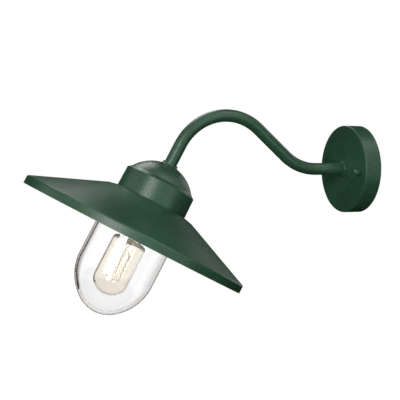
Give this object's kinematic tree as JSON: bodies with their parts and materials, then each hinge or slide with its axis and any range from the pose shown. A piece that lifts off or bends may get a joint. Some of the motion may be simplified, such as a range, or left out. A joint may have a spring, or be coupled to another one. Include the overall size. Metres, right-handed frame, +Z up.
{
  "type": "gooseneck wall sconce",
  "caption": "Wall sconce with a round rose, a bent tube gooseneck arm, a tilted metal shade under a domed cap, a screw-in glass jar and a tubular filament bulb.",
  "frame": {"origin": "centre of the rose's back face, on the wall plane", "axes": "+Y into the wall, so the arm stands out along -Y; +Z up; +X to the left of someone who faces the wall"},
  "size_m": [0.3, 0.4538, 0.2586],
  "materials": {
    "powder_coat": "satin",
    "silicone_rubber": "matte",
    "zinc_plated_steel": "satin",
    "brass": "satin",
    "porcelain": "gloss",
    "jar_glass": "gloss",
    "bulb_glass": "gloss",
    "bulb_cap_metal": "satin",
    "black_vitrite": "gloss",
    "filament_wire": "satin",
    "white_nylon": "satin",
    "cable_sheath": "matte",
    "brown_core": "satin",
    "blue_core": "satin",
    "earth_core": "satin"
  },
  "bodies": {
    "fixture": {"arm_cable": "cable_sheath", "arm_collar": "powder_coat", "arm_tube": "powder_coat", "bracket_studs": "zinc_plated_steel", "cap_nut_washers": "powder_coat", "contact_spring": "zinc_plated_steel", "earth_cores": "earth_core", "earth_ring_terminals": "brass", "earth_screws": "brass", "gallery_gasket": "silicone_rubber", "gallery_screws": "zinc_plated_steel", "glass_gallery": "powder_coat", "head_cable_bush": "white_nylon", "head_lock_nut": "zinc_plated_steel", "head_lock_washer": "zinc_plated_steel", "lamp_cap": "powder_coat", "lampholder_body": "porcelain", "lampholder_plate": "zinc_plated_steel", "lampholder_screws": "zinc_plated_steel", "lampholder_terminal_screws": "brass", "lampholder_terminals": "brass", "live_cores": "brown_core", "mounting_bracket": "zinc_plated_steel", "neutral_cores": "blue_core", "rose_cable_bush": "white_nylon", "rose_cap_nuts": "powder_coat", "rose_gasket": "silicone_rubber", "rose_lock_nut": "zinc_plated_steel", "rose_lock_washer": "zinc_plated_steel", "shade": "powder_coat", "terminal_block": "white_nylon", "terminal_block_screw": "zinc_plated_steel", "terminal_inserts": "brass", "terminal_screws": "zinc_plated_steel", "thread_shell": "brass", "wall_rose": "powder_coat"},
    "bulb_tip": {"bulb_contact_tip": "bulb_cap_metal"},
    "bulb": {"bulb_envelope": "bulb_glass", "bulb_screw_cap": "bulb_cap_metal", "bulb_insulator": "black_vitrite", "bulb_stem": "bulb_glass", "lead_wires": "filament_wire", "filament": "filament_wire", "filament_supports": "filament_wire"},
    "contact": {"centre_contact": "brass"},
    "jar_ring": {"jar_seal": "silicone_rubber"},
    "jar": {"glass_jar": "jar_glass"}
  },
  "joints": [
    {"name": "bulb_slide", "type": "slide", "parent": "fixture", "child": "bulb_tip", "axis": [0, -0.454, -0.891], "range_m": [0, 0.01452]},
    {"name": "bulb_turn", "type": "hinge", "parent": "bulb_tip", "child": "bulb", "pos_m": [0, -0.32019, -0.08728], "axis": [0, -0.454, -0.891], "range_deg": [0, 1440]},
    {"name": "contact_slide", "type": "slide", "parent": "fixture", "child": "contact", "axis": [0, -0.454, -0.891], "range_m": [0, 0.0018]},
    {"name": "jar_slide", "type": "slide", "parent": "fixture", "child": "jar_ring", "axis": [0, -0.454, -0.891], "range_m": [0, 0.01]},
    {"name": "jar_turn", "type": "hinge", "parent": "jar_ring", "child": "jar", "pos_m": [0, -0.32019, -0.08728], "axis": [0, -0.454, -0.891], "range_deg": [0, 720]}
  ],
  "couplings": [
    {"joint": "bulb_slide", "follows": "bulb_turn", "m_per_rad": 0.00057757},
    {"joint": "contact_slide", "follows": "bulb_turn", "m_per_rad": 0.00007162},
    {"joint": "jar_slide", "follows": "jar_turn", "m_per_rad": 0.00079577}
  ]
}
